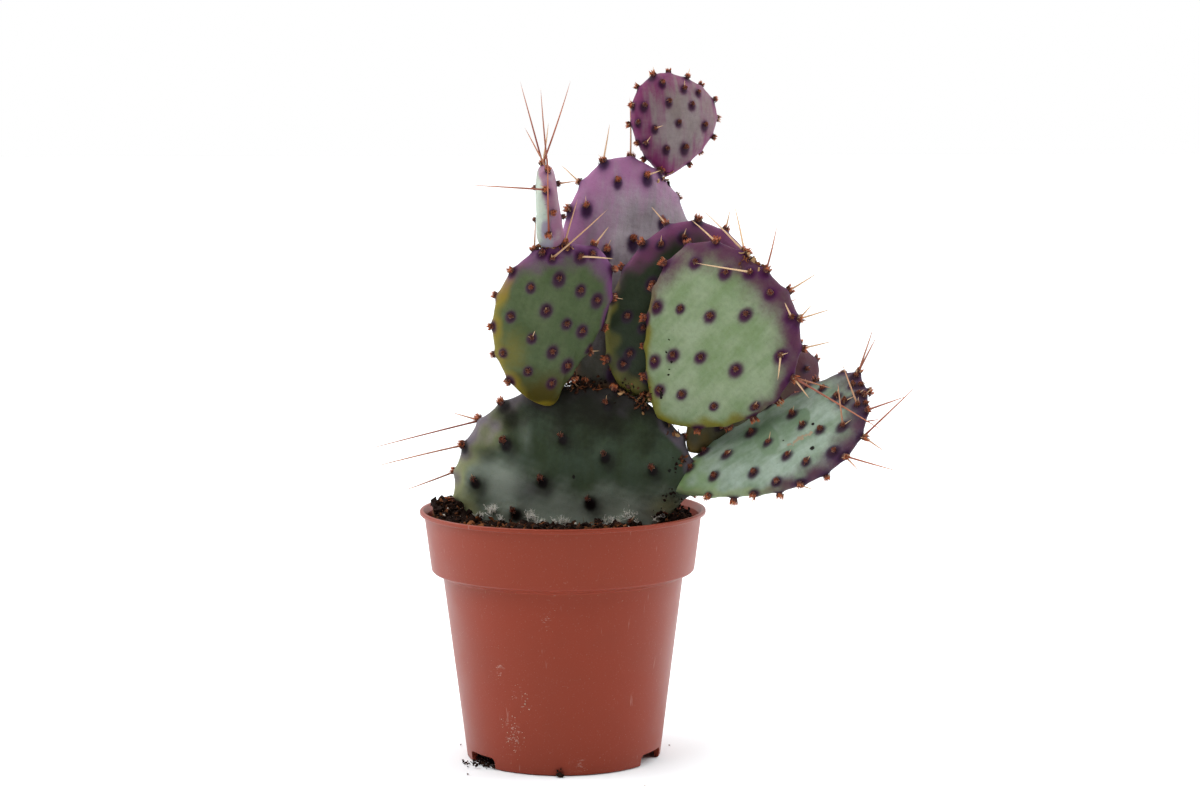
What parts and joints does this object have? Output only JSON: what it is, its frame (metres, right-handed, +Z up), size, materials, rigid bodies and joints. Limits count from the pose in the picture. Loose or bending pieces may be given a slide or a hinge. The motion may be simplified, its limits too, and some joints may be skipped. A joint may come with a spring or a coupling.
{
  "type": "potted paddle cactus",
  "caption": "Prickly pear with flat purple and green pads, spines and bristle tufts, growing in a round plastic nursery pot filled with soil.",
  "frame": {"origin": "centre of the flat disc in the middle of the pot's underside, on the surface that the pot stands on", "axes": "+Z up, the front of the plant faces -Y and its low side branch reaches towards +X"},
  "size_m": [0.2261, 0.12, 0.2887],
  "materials": {
    "pot_plastic": "satin",
    "soil": "matte",
    "skin_dark_green": "satin",
    "skin_green": "satin",
    "skin_lilac": "satin",
    "skin_blue_green": "satin"
  },
  "bodies": {
    "root": {"pot": "pot_plastic", "soil": "soil", "pad_base": "skin_dark_green", "pad_left": "skin_green", "pad_middle": "skin_dark_green", "pad_right": "skin_green", "pad_tall": "skin_lilac", "pad_top": "skin_lilac", "pad_narrow": "skin_lilac", "pad_low": "skin_blue_green", "pad_rear": "skin_lilac"}
  },
  "joints": []
}
